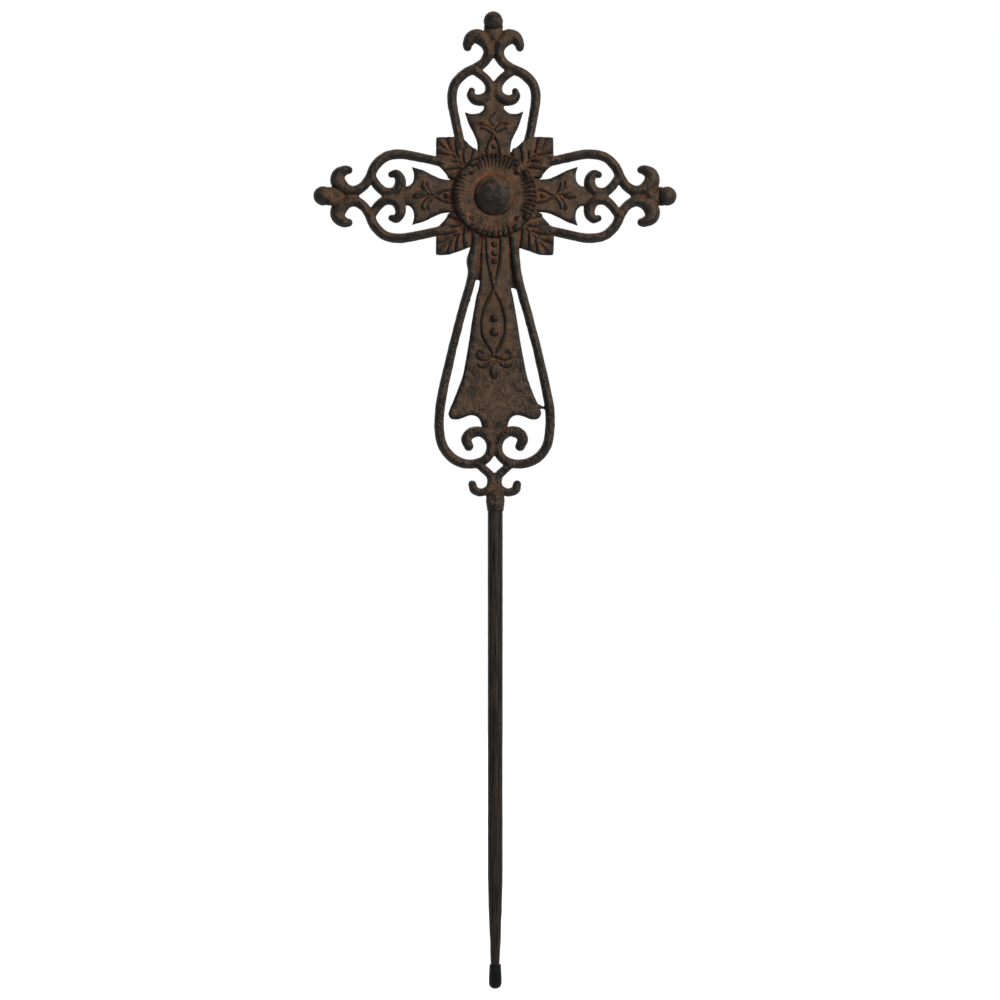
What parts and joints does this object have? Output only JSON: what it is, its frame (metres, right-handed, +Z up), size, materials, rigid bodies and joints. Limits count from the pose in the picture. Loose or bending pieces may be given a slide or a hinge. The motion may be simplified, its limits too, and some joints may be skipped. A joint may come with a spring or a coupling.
{
  "type": "garden and grave cross on a stake",
  "caption": "Openwork cast iron Latin cross with scroll borders, leaves and a fluted rosette, on a round steel stake with a rubber tip.",
  "frame": {"origin": "on the stake's axis at the ground line, 150 mm above its capped tip", "axes": "+Z up the stake, the carved side faces -Y, +X to the right of someone who looks at the carved side"},
  "size_m": [0.291, 0.0178, 0.7815],
  "materials": {
    "cast_iron": "dark brown oxide with orange rust in the hollows",
    "steel": "dark scaled steel with brown streaks",
    "rubber": "smooth black"
  },
  "bodies": {
    "root": {"cross": "cast_iron", "rod": "steel", "cap": "rubber"}
  },
  "joints": []
}
